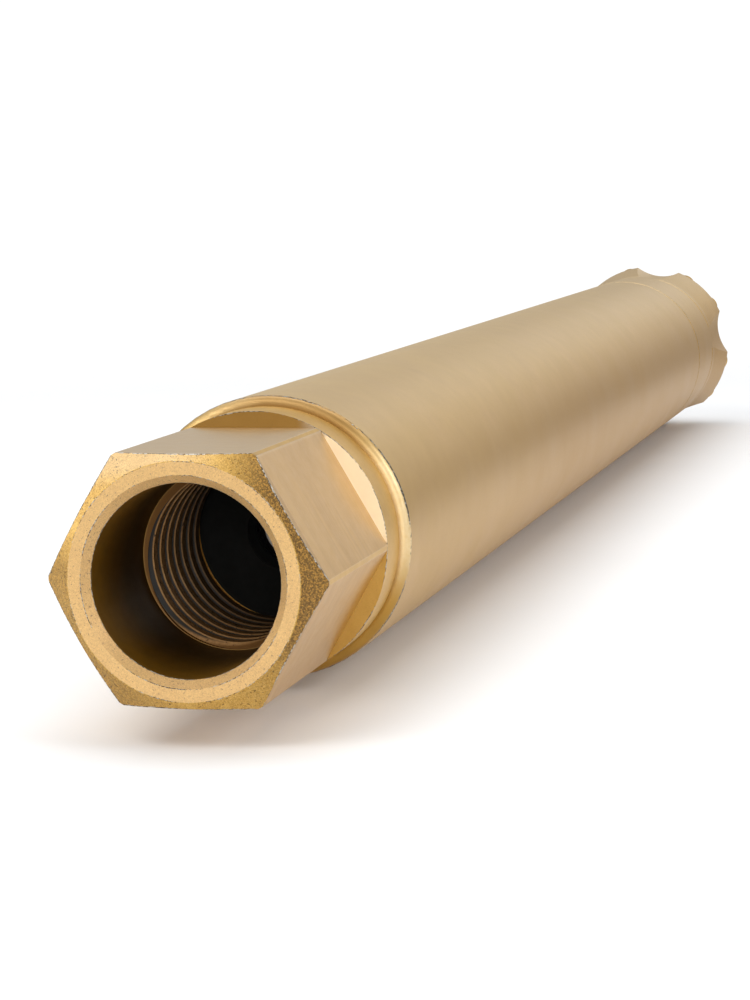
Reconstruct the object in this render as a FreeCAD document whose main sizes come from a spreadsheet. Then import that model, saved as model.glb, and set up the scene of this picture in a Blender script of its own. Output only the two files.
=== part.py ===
import FreeCAD, Part
import Sketcher
import math
import os

os.makedirs("parts", exist_ok=True)

# A down-the-hole rock drilling hammer with its button bit. Millimetres.
# The axis is X, from the hexagonal rear end at X = 0 towards the bit, and Z is up.
# Two opposite flats of the hexagon face up and down.

doc = FreeCAD.newDocument("drill_hammer")
sheet = doc.addObject("Spreadsheet::Sheet", "sizes")
Vector = FreeCAD.Vector
AXIS_TOLERANCE = 1e-9


class Size:
    """A number together with the spreadsheet formula it comes from."""

    def __init__(self, value, formula):
        self.value = float(value)
        self.formula = formula

    def join(self, other, sign, value):
        return Size(value, "(" + self.formula + " " + sign + " " + other.formula + ")")

    def __add__(self, other):
        other = as_size(other)
        return self.join(other, "+", self.value + other.value)

    def __sub__(self, other):
        other = as_size(other)
        return self.join(other, "-", self.value - other.value)

    def __mul__(self, other):
        other = as_size(other)
        return self.join(other, "*", self.value * other.value)

    def __truediv__(self, other):
        other = as_size(other)
        return self.join(other, "/", self.value / other.value)

    def __neg__(self):
        return as_size(0) - self

    def cosine(self):
        return Size(math.cos(math.radians(self.value)), "cos(" + self.formula + ")")

    def sine(self):
        return Size(math.sin(math.radians(self.value)), "sin(" + self.formula + ")")


def as_size(number):
    if isinstance(number, Size):
        return number
    return Size(number, repr(float(number)))


def size(name, value):
    """Writes one driving size into the sheet and returns it."""
    row = str(len(size.names) + 1)
    sheet.set("A" + row, str(value))
    sheet.setAlias("A" + row, name)
    size.names.append(name)
    return Size(value, "sizes." + name)


size.names = []

# Outside sizes
casing_diameter = size("casing_diameter", 80)
body_length = size("body_length", 797)
hex_across_flats = size("hex_across_flats", 65)
collar_diameter = size("collar_diameter", 74.2)
hex_length = size("hex_length", 65.5)
collar_length = size("collar_length", 14.6)
casing_length = size("casing_length", 660)
bit_diameter = size("bit_diameter", 88)
head_length = size("head_length", 52)

# Rod socket in the rear end
front_face_diameter = size("front_face_diameter", 61.4)
socket_mouth_diameter = size("socket_mouth_diameter", 54.5)
socket_diameter = size("socket_diameter", 50.2)
socket_depth = size("socket_depth", 43.2)
thread_crest_diameter = size("thread_crest_diameter", 46.4)
thread_root_diameter = size("thread_root_diameter", 49.8)
thread_pitch = size("thread_pitch", 6.18)
thread_turns = size("thread_turns", 8)
thread_start = size("thread_start", 40.2)
thread_end = size("thread_end", 88)
relief_width = size("relief_width", 6)
air_bore_diameter = size("air_bore_diameter", 22)

# Bores and fits
casing_wall = size("casing_wall", 7.5)
casing_thread_height = size("casing_thread_height", 0.5)
static_fit = size("static_fit", 0.05)
sliding_fit = size("sliding_fit", 0.05)
face_gap = size("face_gap", 0.3)
rubber_fit = size("rubber_fit", 0.03)
edge_break = size("edge_break", 0.8)
seam_break = size("seam_break", 0.6)

# Stack of parts inside the casing, each one's length along X
spigot_end = size("spigot_end", 160)
preload_thickness = size("preload_thickness", 3)
cover_length = size("cover_length", 20)
seat_length = size("seat_length", 20)
cylinder_length = size("cylinder_length", 297)
rib_width = size("rib_width", 12)
stop_ring_start = size("stop_ring_start", 560)
stop_ring_width = size("stop_ring_width", 3)
bush_length = size("bush_length", 73)
retainer_length = size("retainer_length", 16)

# Moving parts
cylinder_wall = size("cylinder_wall", 4.95)
nose_step = size("nose_step", 6.45)
strike_face = size("strike_face", 560)
piston_head_length = size("piston_head_length", 110)
piston_nose_length = size("piston_nose_length", 105)
disc_thickness = size("disc_thickness", 2.5)
disc_travel = size("disc_travel", 1.3)
stem_diameter = size("stem_diameter", 10)
port_inset = size("port_inset", 4.25)
bit_travel = size("bit_travel", 22)

# Bit and its drive
spline_count = size("spline_count", 8)
bush_wall = size("bush_wall", 7.4)
spline_depth = size("spline_depth", 3.4)
spline_width = size("spline_width", 9)
spline_clearance = size("spline_clearance", 0.3)
waist_depth = size("waist_depth", 4)
mouth_depth = size("mouth_depth", 17)
flute_count = size("flute_count", 5)
flute_angle = size("flute_angle", 82.5)
flute_radius = size("flute_radius", 21)
flute_depth = size("flute_depth", 5.3)
button_diameter = size("button_diameter", 12)
button_length = size("button_length", 15)
button_stand_out = size("button_stand_out", 4.2)
gauge_tilt = size("gauge_tilt", 35)
gauge_spread = size("gauge_spread", 13)

doc.recompute()

# Places along X that several parts share
collar_end = hex_length + collar_length
casing_end = collar_end + casing_length
cover_start = spigot_end + preload_thickness
seat_start = cover_start + cover_length
cylinder_start = seat_start + seat_length
cylinder_end = cylinder_start + cylinder_length
bush_start = stop_ring_start + stop_ring_width
retainer_start = bush_start + bush_length
chuck_start = retainer_start + retainer_length

# Radii that several parts share, from the barrel's surface inwards
casing_radius = casing_diameter / 2
bore_radius = casing_radius - casing_wall
stack_radius = bore_radius - static_fit
thread_radius = bore_radius + casing_thread_height
piston_bore_radius = stack_radius - cylinder_wall
nose_radius = piston_bore_radius - nose_step
shank_radius = stack_radius - bush_wall - static_fit
spline_radius = shank_radius + spline_depth
waist_radius = shank_radius - waist_depth
port_circle = stack_radius - port_inset
collar_radius = collar_diameter / 2

# The check valve sits in a chamber behind the rod thread's relief.
relief_end = thread_end + relief_width
seat_cone_start = relief_end + 10
valve_start = seat_cone_start - 2.5
valve_back = valve_start + 11.5
seal_groove_start = spigot_end - 18


def plane_of(body, role):
    return next(item for item in body.Origin.OriginFeatures if item.Role == role)


def new_body(name):
    body = doc.addObject("PartDesign::Body", name)
    body.Label = name
    doc.recompute()
    return body


def new_sketch(body, name, role, offset=None, turn=None):
    """An empty sketch on one of the body's own planes, moved along and turned about its normal."""
    sketch = body.newObject("Sketcher::SketchObject", body.Name + "_" + name)
    sketch.AttachmentSupport = [(plane_of(body, role), "")]
    sketch.MapMode = "FlatFace"
    if offset is not None:
        sketch.setExpression("AttachmentOffset.Base.z", offset.formula)
    if turn is not None:
        sketch.setExpression("AttachmentOffset.Rotation.Angle", turn.formula)
    doc.recompute()
    return sketch


def tie(sketch, kind, line, length):
    """Ties the start of a line, or the centre of a circle, to a size measured from the sketch origin."""
    point = 3 if isinstance(sketch.Geometry[line], Part.Circle) else 1
    if abs(length.value) < AXIS_TOLERANCE:
        axis = -2 if kind == "DistanceX" else -1
        sketch.addConstraint(Sketcher.Constraint("PointOnObject", line, point, axis))
        return
    constraint = Sketcher.Constraint(kind, -1, 1, line, point, length.value)
    number = sketch.addConstraint(constraint)
    sketch.setExpression("Constraints[%d]" % number, length.formula)


def draw_outline(sketch, corners):
    """Draws a closed outline and ties each of its corners to the sheet."""
    corners = [(as_size(across), as_size(up)) for across, up in corners]
    first = sketch.GeometryCount
    count = len(corners)
    for step in range(count):
        here = corners[step]
        there = corners[(step + 1) % count]
        start = Vector(here[0].value, here[1].value, 0)
        end = Vector(there[0].value, there[1].value, 0)
        sketch.addGeometry(Part.LineSegment(start, end), False)
    for step in range(count):
        following = first + (step + 1) % count
        sketch.addConstraint(Sketcher.Constraint("Coincident", first + step, 2, following, 1))
    for step in range(count):
        tie(sketch, "DistanceX", first + step, corners[step][0])
        tie(sketch, "DistanceY", first + step, corners[step][1])


def draw_circle(sketch, across, up, radius):
    across = as_size(across)
    up = as_size(up)
    radius = as_size(radius)
    centre = Vector(across.value, up.value, 0)
    line = sketch.addGeometry(Part.Circle(centre, Vector(0, 0, 1), radius.value), False)
    tie(sketch, "DistanceX", line, across)
    tie(sketch, "DistanceY", line, up)
    number = sketch.addConstraint(Sketcher.Constraint("Radius", line, radius.value))
    sketch.setExpression("Constraints[%d]" % number, radius.formula)


def turned(body, name, corners):
    """A solid of revolution about X from an outline of (along X, radius) corners."""
    sketch = new_sketch(body, name + "_outline", "XZ_Plane")
    draw_outline(sketch, corners)
    feature = body.newObject("PartDesign::Revolution", body.Name + "_" + name)
    feature.Profile = sketch
    feature.ReferenceAxis = (sketch, ["H_Axis"])
    feature.Angle = 360
    doc.recompute()
    return feature


def groove(body, name, corners):
    """Material turned away about X from an outline of (along X, radius) corners."""
    sketch = new_sketch(body, name + "_outline", "XZ_Plane")
    draw_outline(sketch, corners)
    feature = body.newObject("PartDesign::Groove", body.Name + "_" + name)
    feature.Profile = sketch
    feature.ReferenceAxis = (sketch, ["H_Axis"])
    feature.Angle = 360
    doc.recompute()
    return feature


def rectangle(start, end, inner, outer):
    return [(start, inner), (end, inner), (end, outer), (start, outer)]


def pocket(body, name, sketch, length, forward=False):
    """Cuts a sketch along X, backwards from its plane unless forward is set."""
    feature = body.newObject("PartDesign::Pocket", body.Name + "_" + name)
    feature.Profile = sketch
    feature.Length = as_size(length).value
    feature.setExpression("Length", as_size(length).formula)
    feature.Reversed = forward
    doc.recompute()
    return feature


def pattern(body, name, feature, count):
    """Repeats a feature evenly about X."""
    copies = body.newObject("PartDesign::PolarPattern", body.Name + "_" + name)
    copies.Originals = [feature]
    copies.Axis = (plane_of(body, "X_Axis"), [""])
    copies.Angle = 360
    copies.Occurrences = int(as_size(count).value)
    copies.setExpression("Occurrences", as_size(count).formula)
    body.Tip = copies
    doc.recompute()
    return copies


def axial_holes(body, name, start, length, circle_radius, radius, count, turn=0):
    """Round holes along X, evenly spaced on a circle, from start towards the bit."""
    sketch = new_sketch(body, name + "_place", "YZ_Plane", as_size(start), as_size(turn))
    draw_circle(sketch, circle_radius, 0, radius)
    cut = pocket(body, name + "_first", sketch, length, True)
    return pattern(body, name, cut, count)


def radial_holes(body, name, along, radius, depth, count):
    """Round holes square to X, from the axis outwards, evenly spaced."""
    sketch = new_sketch(body, name + "_place", "XY_Plane")
    draw_circle(sketch, along, 0, radius)
    cut = pocket(body, name + "_first", sketch, depth, True)
    return pattern(body, name, cut, count)


def soften(body, name, feature, kind, amount, along, radius):
    """Rounds or bevels the circular edges of a given radius at a given place along X."""
    near = 0.01
    names = []
    for number, edge in enumerate(feature.Shape.Edges, start=1):
        box = edge.BoundBox
        flat = box.XLength < near and abs(box.XMin - along.value) < near
        round_edge = isinstance(edge.Curve, Part.Circle)
        if flat and round_edge and abs(edge.Curve.Radius - radius.value) < near:
            names.append("Edge%d" % number)
    softened = body.newObject("PartDesign::" + kind, body.Name + "_" + name)
    softened.Base = (feature, names)
    measure = "Radius" if kind == "Fillet" else "Size"
    setattr(softened, measure, amount.value)
    softened.setExpression(measure, amount.formula)
    body.Tip = softened
    doc.recompute()
    return softened


def seal_ring(name, start, end, inner, outer):
    """A rubber ring that fills its groove, with rounded shoulders where it meets the bore."""
    body = new_body(name)
    corner = (outer - inner) / 4
    middle_shape = [
        (start, inner + corner),
        (start + corner, inner),
        (end - corner, inner),
        (end, inner + corner),
        (end, outer - corner),
        (end - corner, outer),
        (start + corner, outer),
        (start, outer - corner),
    ]
    turned(body, "ring", middle_shape)
    return body


def build_top_sub():
    """The rear adapter: hexagon for the spanner, rod socket with box thread, threaded spigot."""
    body = new_body("top_sub")
    mouth_bevel = (socket_mouth_diameter - socket_diameter) / 2
    face_radius = front_face_diameter / 2
    bevel_run = (collar_radius - face_radius) * 0.55
    chamber_radius = air_bore_diameter / 2 + 8
    chamber_start = seat_cone_start + 6.5
    relief_radius = thread_root_diameter / 2 + 0.7
    neck_radius = stack_radius - 1.25
    neck_end = collar_end + 4
    thread_stop = neck_end + 50
    shoulder = socket_depth + 0.9
    corners = [
        (0, socket_mouth_diameter / 2),
        (mouth_bevel, socket_diameter / 2),
        (socket_depth, socket_diameter / 2),
        (shoulder, thread_crest_diameter / 2),
        (thread_end, thread_crest_diameter / 2),
        (thread_end, relief_radius),
        (relief_end, relief_radius),
        (relief_end, air_bore_diameter / 2),
        (seat_cone_start, air_bore_diameter / 2),
        (chamber_start, chamber_radius - 1.5),
        (chamber_start, chamber_radius),
        (spigot_end, chamber_radius),
        (spigot_end, stack_radius - edge_break),
        (spigot_end - edge_break, stack_radius),
        (thread_stop, stack_radius),
        (thread_stop, thread_radius - static_fit),
        (neck_end, thread_radius - static_fit),
        (neck_end, neck_radius),
        (collar_end, neck_radius),
        (collar_end, collar_radius - edge_break),
        (collar_end - edge_break, collar_radius),
        (bevel_run, collar_radius),
        (0, face_radius),
    ]
    turned(body, "blank", corners)

    # The rod thread is one continuous helical groove that starts in the socket and ends in the relief.
    thread_sketch = new_sketch(body, "thread_profile", "XZ_Plane")
    groove_centre = thread_start
    groove_half_width = thread_pitch * 0.235
    root_half_width = thread_pitch * 0.11
    inner_half_width = groove_half_width + 0.3
    inner_radius = thread_crest_diameter / 2 - 0.6
    profile = [
        (groove_centre - inner_half_width, inner_radius),
        (groove_centre - root_half_width, thread_root_diameter / 2),
        (groove_centre + root_half_width, thread_root_diameter / 2),
        (groove_centre + inner_half_width, inner_radius),
    ]
    draw_outline(thread_sketch, profile)
    thread = body.newObject("PartDesign::SubtractiveHelix", "rod_thread")
    thread.Profile = thread_sketch
    thread.ReferenceAxis = (thread_sketch, ["H_Axis"])
    thread.Mode = 0
    thread.setExpression("Pitch", thread_pitch.formula)
    thread.setExpression("Height", (thread_pitch * thread_turns).formula)
    thread.Pitch = thread_pitch.value
    thread.Height = thread_pitch.value * thread_turns.value
    doc.recompute()

    # Six flats are milled from the rear face as far as the collar and leave crescent-shaped walls.
    flats = new_sketch(body, "flats_outline", "YZ_Plane", hex_length)
    draw_circle(flats, 0, 0, collar_radius + 5)
    corner_radius = hex_across_flats / math.sqrt(3)
    hexagon = []
    for number in range(6):
        angle = math.radians(60 * number)
        hexagon.append((corner_radius * math.cos(angle), corner_radius * math.sin(angle)))
    draw_outline(flats, hexagon)
    pocket(body, "flats", flats, hex_length)
    groove(body, "seal_groove", rectangle(seal_groove_start, seal_groove_start + 4.2, stack_radius - 2.6, stack_radius + 1))
    return body


def build_casing():
    body = new_body("casing")
    mouth = 1.2
    rear_thread_end = collar_end + 58
    front_thread_start = chuck_start + 2
    rib_end = cylinder_end + rib_width
    corners = [
        (collar_end, thread_radius + mouth),
        (collar_end + mouth, thread_radius),
        (rear_thread_end, thread_radius),
        (rear_thread_end, bore_radius),
        (cylinder_end, bore_radius),
        (cylinder_end, bore_radius - 2.5),
        (rib_end, bore_radius - 2.5),
        (rib_end, bore_radius),
        (stop_ring_start, bore_radius),
        (stop_ring_start, bore_radius + 2),
        (bush_start, bore_radius + 2),
        (bush_start, bore_radius),
        (front_thread_start, bore_radius),
        (front_thread_start, thread_radius),
        (casing_end - mouth, thread_radius),
        (casing_end, thread_radius + mouth),
        (casing_end, casing_radius),
        (collar_end, casing_radius),
    ]
    blank = turned(body, "blank", corners)
    rear = soften(body, "rear_edge", blank, "Fillet", as_size(2.4), collar_end, casing_radius)
    soften(body, "front_edge", rear, "Chamfer", seam_break, casing_end, casing_radius)
    return body


def build_check_valve():
    """A dart that the incoming air opens and a spring closes, so that water can't flow back."""
    body = new_body("check_valve")
    stem = stem_diameter / 2
    nose = air_bore_diameter / 2
    cone_outer = nose + 5.7
    corners = [
        (valve_start, 0),
        (valve_start, nose - 3),
        (valve_start + 1.5, nose - 0.6),
        (valve_start + 2.9, nose + 0.1),
        (valve_start + 8.4, cone_outer),
        (valve_back, cone_outer),
        (valve_back, stem),
        (spigot_end - 1, stem),
        (spigot_end, stem - 1),
        (spigot_end, 0),
    ]
    turned(body, "dart", corners)
    groove(body, "seal_groove", check_seal_section(as_size(0), as_size(1)))
    return body


def check_seal_section(shrink, stand_out):
    """The four corners of the seal's section, on the valve's cone."""
    start = valve_start + 4.3
    run = as_size(2.4)
    cone_start = air_bore_diameter / 2 + 1.53
    depth = as_size(1.6)
    return [
        (start + shrink, cone_start - depth + shrink),
        (start + run - shrink, cone_start - depth + shrink),
        (start + run - shrink, cone_start + run * 1.018 + stand_out),
        (start + shrink, cone_start + stand_out),
    ]


def build_check_valve_seal():
    body = new_body("check_valve_seal")
    turned(body, "ring", check_seal_section(rubber_fit, as_size(0.12)))
    return body


def build_check_valve_spring():
    """A compression spring around the valve's stem."""
    body = new_body("check_valve_spring")
    wire_radius = as_size(0.9)
    mean_radius = stem_diameter / 2 + 2.6
    start = valve_back + 1.3
    end = cover_start - 14.3
    coils = as_size(7)
    sketch = new_sketch(body, "wire", "XZ_Plane")
    draw_circle(sketch, start, mean_radius, wire_radius)
    spring = body.newObject("PartDesign::AdditiveHelix", "spring_coils")
    spring.Profile = sketch
    spring.ReferenceAxis = (sketch, ["H_Axis"])
    spring.Mode = 0
    spring.Pitch = (end.value - start.value) / coils.value
    spring.Height = end.value - start.value
    spring.setExpression("Pitch", ((end - start) / coils).formula)
    spring.setExpression("Height", (end - start).formula)
    doc.recompute()
    return body


def build_preload_ring():
    """A coned spring ring that holds the stack tight."""
    body = new_body("preload_ring")
    inner = stack_radius - 10.45
    dish = as_size(0.9)
    corners = [
        (spigot_end + dish, inner),
        (cover_start, inner),
        (cover_start - dish, stack_radius - 1),
        (spigot_end, stack_radius - 1),
    ]
    turned(body, "ring", corners)
    return body


def build_valve_cover():
    body = new_body("valve_cover")
    boss_start = cover_start - 13
    stem_bore = stem_diameter / 2 + sliding_fit
    plug_pocket = seat_start - 6
    corners = [
        (boss_start, stem_bore),
        (boss_start + 20, stem_bore),
        (boss_start + 20, 2.5),
        (plug_pocket, 2.5),
        (plug_pocket, 5),
        (seat_start, 5),
        (seat_start, stack_radius - edge_break),
        (seat_start - edge_break, stack_radius),
        (cover_start + edge_break, stack_radius),
        (cover_start, stack_radius - edge_break),
        (cover_start, stem_diameter),
        (boss_start, stem_diameter),
    ]
    turned(body, "disc", corners)
    axial_holes(body, "disc_feed", cover_start - 1, cover_length + 2, 18, 2.6, 6)
    axial_holes(body, "outer_feed", cover_start - 1, cover_length + 2, port_circle, 1.9, 6, 30)
    radial_holes(body, "choke_feed", seat_start - 9, 1.2, 20, 2)
    axial_holes(body, "pin_hole", seat_start - 8, 10, port_circle, 1.5, 2, 60)
    return body


def build_choke_plug():
    """Sets how much extra air is passed straight to the bit."""
    body = new_body("choke_plug")
    plug_pocket = seat_start - 6
    outer = as_size(5) - rubber_fit
    turned(body, "plug", rectangle(plug_pocket + rubber_fit, seat_start - 0.5, as_size(1.6), outer))
    slot = new_sketch(body, "slot_outline", "YZ_Plane", seat_start)
    half = as_size(0.7)
    reach = as_size(6)
    draw_outline(slot, [(-reach, -half), (reach, -half), (reach, half), (-reach, half)])
    pocket(body, "screwdriver_slot", slot, as_size(2))
    return body


def build_valve_disc():
    """The plate that tips the air to one end of the cylinder and then the other."""
    body = new_body("valve_disc")
    start = seat_start + 0.15
    turned(body, "plate", rectangle(start, start + disc_thickness, as_size(9.1), as_size(23.8)))
    return body


def build_valve_seat():
    body = new_body("valve_seat")
    recess_end = seat_start + 0.3 + disc_thickness + disc_travel
    hub = as_size(8.8)
    corners = [
        (seat_start + 0.4, 3.5),
        (cylinder_start, 3.5),
        (cylinder_start, stack_radius - edge_break),
        (cylinder_start - edge_break, stack_radius),
        (seat_start + edge_break, stack_radius),
        (seat_start, stack_radius - edge_break),
        (seat_start, 24.3),
        (recess_end, 24.3),
        (recess_end, hub),
        (seat_start + 0.4, hub),
    ]
    turned(body, "disc", corners)
    axial_holes(body, "inner_port", seat_start, seat_length + 2, 15, 2.8, 6)
    axial_holes(body, "outer_port", seat_start - 1, seat_length + 2, port_circle, 1.9, 6, 30)
    axial_holes(body, "pin_hole", seat_start - 1, 7, port_circle, 1.5, 2, 60)
    groove(body, "seal_groove", rectangle(seat_start + 9, seat_start + 12.2, stack_radius - 1.8, stack_radius + 1))
    return body


def build_locating_pins():
    """Two dowels that keep the ports of cover and seat in line."""
    body = new_body("locating_pins")
    start = seat_start - 7.5
    sketch = new_sketch(body, "pin_circle", "YZ_Plane", start, as_size(60))
    pin_radius = as_size(1.5) - rubber_fit
    for side in (-1, 1):
        draw_circle(sketch, port_circle * side, 0, pin_radius)
    pins = body.newObject("PartDesign::Pad", "pins")
    pins.Profile = sketch
    pins.Length = 13
    doc.recompute()
    return body


def build_inner_cylinder():
    body = new_body("inner_cylinder")
    bore = piston_bore_radius
    guide = nose_radius + sliding_fit
    guide_start = cylinder_end - 38
    corners = [
        (cylinder_start, bore + 1),
        (cylinder_start + 1, bore),
        (guide_start, bore),
        (guide_start, guide),
        (cylinder_end, guide),
        (cylinder_end, stack_radius - edge_break),
        (cylinder_end - edge_break, stack_radius),
        (cylinder_start + edge_break, stack_radius),
        (cylinder_start, stack_radius - edge_break),
    ]
    turned(body, "tube", corners)
    groove(body, "seal_groove", rectangle(cylinder_end - 12, cylinder_end - 8.8, stack_radius - 1.8, stack_radius + 1))
    channel = new_sketch(body, "channel_outline", "YZ_Plane", cylinder_start - 1, as_size(30))
    floor = stack_radius - 2.2
    draw_outline(channel, [(floor, -5), (floor + 5, -5), (floor + 5, 5), (floor, 5)])
    cut = pocket(body, "channel_first", channel, cylinder_length - 40, True)
    pattern(body, "channel", cut, 6)
    place = new_sketch(body, "front_port_place", "XY_Plane")
    draw_circle(place, guide_start - 5, 0, 3)
    port = pocket(body, "front_port_first", place, stack_radius + 2, True)
    pattern(body, "front_port", port, 6)
    return body


def build_piston():
    body = new_body("piston")
    front = strike_face - face_gap
    shoulder = front - piston_nose_length
    rear = shoulder - piston_head_length
    land = piston_bore_radius - sliding_fit
    nose = nose_radius
    bore = as_size(6.5)
    corners = [
        (rear, bore + 2),
        (rear + 2, bore),
        (front - 2, bore),
        (front, bore + 2),
        (front, nose - 2.5),
        (front - 5, nose),
        (shoulder + 3, nose),
        (shoulder, nose + 3),
        (shoulder, land - 1.5),
        (shoulder - 1.5, land),
        (shoulder - 40, land),
        (shoulder - 43, land - 1.6),
        (shoulder - 59, land - 1.6),
        (shoulder - 62, land),
        (rear + 1.5, land),
        (rear, land - 1.5),
    ]
    turned(body, "body", corners)
    for number in range(3):
        start = rear + 10 + number * 9
        groove(body, "oil_groove_%d" % number, rectangle(start, start + 1.6, land - 0.8, land + 1))
    radial_holes(body, "waist_port", shoulder - 51, 2.5, land + 2, 4)
    return body


def build_stop_ring():
    """A split ring sprung into the casing's groove."""
    body = new_body("guide_stop_ring")
    start = stop_ring_start + rubber_fit
    end = bush_start - rubber_fit
    turned(body, "ring", rectangle(start, end, bore_radius - 4, bore_radius + 2 - rubber_fit))
    gap = new_sketch(body, "gap_outline", "YZ_Plane", end + 1)
    draw_outline(gap, [(-6, bore_radius - 7), (6, bore_radius - 7), (6, bore_radius + 7), (-6, bore_radius + 7)])
    pocket(body, "gap", gap, stop_ring_width + 2)
    return body


def build_guide_bush():
    """Guides the bit's anvil."""
    body = new_body("guide_bush")
    inner = shank_radius + sliding_fit
    corners = [
        (bush_start, inner + 1.5),
        (bush_start + 1.5, inner),
        (retainer_start - 1, inner),
        (retainer_start, inner + 1),
        (retainer_start, stack_radius - edge_break),
        (retainer_start - edge_break, stack_radius),
        (bush_start + edge_break, stack_radius),
        (bush_start, stack_radius - edge_break),
    ]
    turned(body, "bush", corners)
    groove(body, "seal_groove", rectangle(bush_start + 34, bush_start + 37.2, stack_radius - 1.8, stack_radius + 1))
    axial_holes(body, "exhaust_slot", bush_start - 1, bush_length + 2, inner, 2.5, 6)
    return body


def build_retaining_half(name, side):
    """One half of the split ring that keeps the bit in."""
    body = new_body(name)
    inner = waist_radius + 0.6
    corners = [
        (retainer_start, inner + 1),
        (retainer_start + 1, inner),
        (chuck_start, inner),
        (chuck_start, stack_radius - edge_break),
        (chuck_start - edge_break, stack_radius),
        (retainer_start + edge_break, stack_radius),
        (retainer_start, stack_radius - edge_break),
    ]
    turned(body, "ring", corners)
    middle = retainer_start + retainer_length / 2
    groove(body, "band_groove", rectangle(middle - 2, middle + 2, stack_radius - 2.4, stack_radius + 1))
    away = new_sketch(body, "away_outline", "YZ_Plane", chuck_start + 1)
    reach = casing_radius
    kerf = as_size(0.5) * side
    edge = -reach * side
    draw_outline(away, [(kerf, -reach), (kerf, reach), (edge, reach), (edge, -reach)])
    pocket(body, "other_half", away, retainer_length + 2)
    return body


def build_drive_chuck():
    """The front sub: screws into the casing and turns the bit through its splines."""
    body = new_body("drive_chuck")
    bore = shank_radius + spline_clearance
    mouth = spline_radius + 0.6
    thread_start = chuck_start + 4
    neck_start = casing_end - 6
    seam = casing_end
    corners = [
        (chuck_start, bore + 1),
        (chuck_start + 1, bore),
        (body_length - mouth_depth, bore),
        (body_length - mouth_depth, mouth),
        (body_length - 1.5, mouth),
        (body_length, mouth + 1.5),
        (body_length, casing_radius - seam_break),
        (body_length - seam_break, casing_radius),
        (seam + seam_break, casing_radius),
        (seam, casing_radius - seam_break),
        (seam, thread_radius - 1.8),
        (neck_start, thread_radius - 1.8),
        (neck_start, thread_radius - static_fit),
        (thread_start, thread_radius - static_fit),
        (thread_start, stack_radius),
        (chuck_start + edge_break, stack_radius),
        (chuck_start, stack_radius - edge_break),
    ]
    turned(body, "blank", corners)
    slot = new_sketch(body, "slot_outline", "YZ_Plane", chuck_start - 1)
    half = spline_width / 2 + spline_clearance
    tip = spline_radius + spline_clearance
    draw_outline(slot, [(bore - 2, -half), (tip, -half), (tip, half), (bore - 2, half)])
    cut = pocket(body, "slot_first", slot, body_length - chuck_start, True)
    pattern(body, "slot", cut, spline_count)
    return body


def build_bit():
    body = new_body("bit_body")
    root = shank_radius
    tip = spline_radius
    waist = waist_radius
    anvil_end = retainer_start - bit_travel - face_gap
    spline_start = chuck_start + 8
    shoulder = body_length + face_gap
    neck_start = body_length - mouth_depth + 5
    face = shoulder + head_length
    head = bit_diameter / 2 - 0.4
    bore = as_size(6.5)
    bore_end = face - 24
    bevel_run = (head - 1 - 29.5) * gauge_tilt.sine() / gauge_tilt.cosine()
    corners = [
        (strike_face, bore + 1.5),
        (strike_face + 1.5, bore),
        (bore_end, bore),
        (bore_end + 3.5, 0),
        (face - 2, 0),
        (face - 2, 12),
        (face, 17),
        (face, 29.5),
        (face - bevel_run, head - 1),
        (face - bevel_run - 1.5, head),
        (face - bevel_run - 3, head),
        (shoulder + 9, casing_radius),
        (shoulder + seam_break, casing_radius),
        (shoulder, casing_radius - seam_break),
        (shoulder, tip),
        (neck_start, tip),
        (neck_start - 3.4, root),
        (spline_start, root),
        (spline_start - 4, waist),
        (anvil_end, waist),
        (anvil_end, root - 0.5),
        (anvil_end - 0.5, root),
        (strike_face + 2, root),
        (strike_face, root - 2),
    ]
    turned(body, "blank", corners)

    # Splines that the chuck turns
    spline = new_sketch(body, "spline_outline", "YZ_Plane", spline_start)
    half = spline_width / 2
    draw_outline(spline, [(root - 2, -half), (tip, -half), (tip, half), (root - 2, half)])
    key = body.newObject("PartDesign::Pad", "spline_first")
    key.Profile = spline
    key.Length = 1
    key.setExpression("Length", (neck_start - spline_start).formula)
    doc.recompute()
    pattern(body, "splines", key, spline_count)

    # Flutes in the head's side let the cuttings out.
    flute = new_sketch(body, "flute_place", "YZ_Plane", shoulder - 0.1, flute_turn())
    draw_circle(flute, bit_diameter / 2 - flute_depth + flute_radius, 0, flute_radius)
    cut = pocket(body, "flute_first", flute, head_length + 1, True)
    pattern(body, "flutes", cut, flute_count)

    # Two flushing holes join the central bore to the face.
    place = new_sketch(body, "flushing_place", "YZ_Plane", face + 1, flute_turn())
    for side in (-1, 1):
        draw_circle(place, as_size(9.2) * side, 0, 4)
    pocket(body, "flushing", place, 30)

    # Round holes that the buttons are pressed into
    gauge_holes(body, face)
    axial_pockets(body, face)
    return body


def flute_turn():
    """The first flute's turn about X, measured from the Y axis."""
    return as_size(180) - flute_angle


def gauge_turns():
    """Two gauge buttons share each lobe, one each side of its middle."""
    middle = flute_turn() + as_size(180) / flute_count
    return [middle - gauge_spread, middle + gauge_spread]


def button_seat(face):
    """Where a gauge button's centre line meets the bevel: along X and radius."""
    dome_sink = button_diameter / 2 - button_stand_out
    out = bit_diameter / 2 - button_diameter / 2 + gauge_tilt.sine() * dome_sink
    along = face - (out - 29.5) * gauge_tilt.sine() / gauge_tilt.cosine()
    return along, out


def gauge_frame(body, name, angle):
    """A sketch in a plane that holds the axis and one gauge button."""
    sketch = body.newObject("Sketcher::SketchObject", body.Name + "_" + name)
    sketch.AttachmentSupport = [(plane_of(body, "XY_Plane"), "")]
    sketch.MapMode = "FlatFace"
    turn = Vector(1, 0, 0)
    sketch.AttachmentOffset = FreeCAD.Placement(Vector(0, 0, 0), FreeCAD.Rotation(turn, angle.value))
    sketch.setExpression("AttachmentOffset.Rotation.Angle", angle.formula)
    doc.recompute()
    return sketch


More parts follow.
